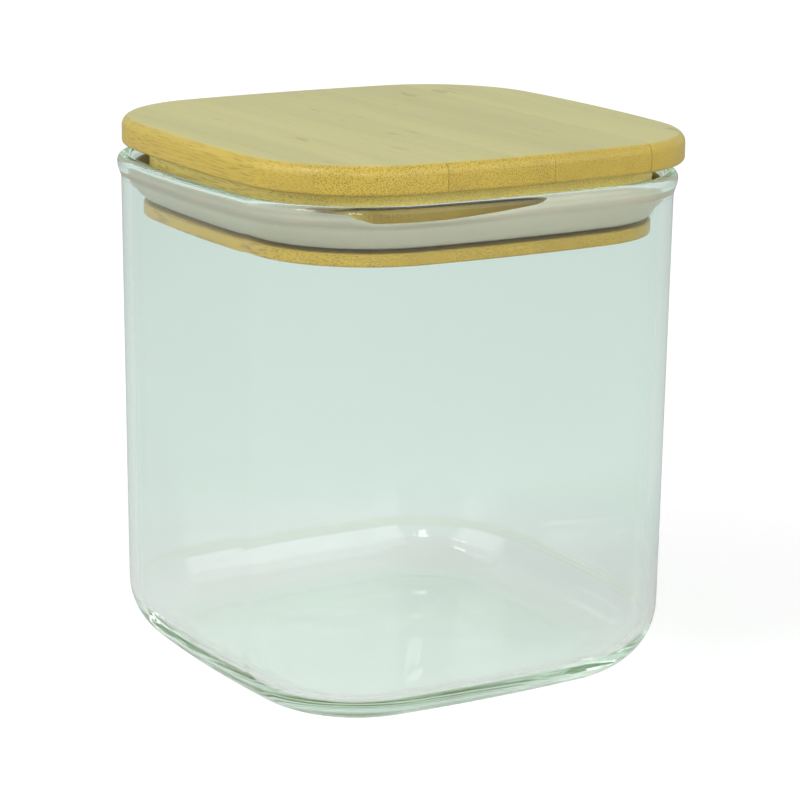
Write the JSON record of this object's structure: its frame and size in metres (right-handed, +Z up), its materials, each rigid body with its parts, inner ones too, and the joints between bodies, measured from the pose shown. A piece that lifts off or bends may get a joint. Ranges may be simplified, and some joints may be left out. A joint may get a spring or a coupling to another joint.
{
  "type": "glass storage jar",
  "caption": "Square glass storage jar with rounded corners and a lift-off laminated bamboo lid, whose plug carries a silicone seal that closes the mouth.",
  "frame": {"origin": "on the table, under the middle of the jar", "axes": "+Z up through the mouth, +Y along the grain of the lid's strips, +X across the strips"},
  "size_m": [0.1046, 0.1042, 0.117],
  "materials": {
    "clear_glass": "clear, smooth, faintly green",
    "bamboo_board": "sanded bamboo, satin oil",
    "bamboo_plug": "sanded bamboo, satin oil",
    "grey_silicone": "matte translucent silicone"
  },
  "bodies": {
    "jar": {"glass_jar": "clear_glass"},
    "lid": {"board_strip_1": "bamboo_board", "board_strip_2": "bamboo_board", "board_strip_3": "bamboo_board", "board_strip_4": "bamboo_board", "board_strip_5": "bamboo_board", "plug_flange": "bamboo_plug", "plug_core": "bamboo_plug", "retaining_plate": "bamboo_plug", "silicone_seal": "grey_silicone"}
  },
  "joints": [
    {"name": "lid_lift", "type": "slide", "parent": "jar", "child": "lid", "axis": [0, 0, 1], "range_m": [0, 0.12]}
  ]
}
